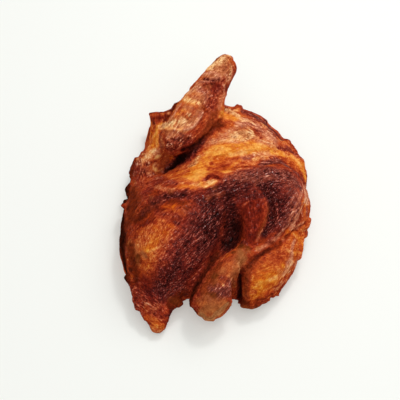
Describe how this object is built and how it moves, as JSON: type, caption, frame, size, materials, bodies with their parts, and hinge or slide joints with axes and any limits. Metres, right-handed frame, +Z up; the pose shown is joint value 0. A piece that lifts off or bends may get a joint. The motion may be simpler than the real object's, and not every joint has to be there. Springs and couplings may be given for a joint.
{
  "type": "grilled half chicken",
  "caption": "Half of a grilled chicken lying skin side up: plump breast, wing reaching past the neck end, folded leg beside a deep pit, crinkled charred skin.",
  "frame": {"origin": "middle of the bounding box's bottom, on the level cut side that the piece lies on", "axes": "+X from the breastbone side to the backbone side, +Y from the tail end to the wing tip, +Z up from the cut side to the skin"},
  "size_m": [0.144, 0.225, 0.064],
  "materials": {
    "skin": "grilled skin, semi-gloss with fat, browned from gold to nearly black"
  },
  "bodies": {
    "root": {"half_chicken": "skin"}
  },
  "joints": []
}
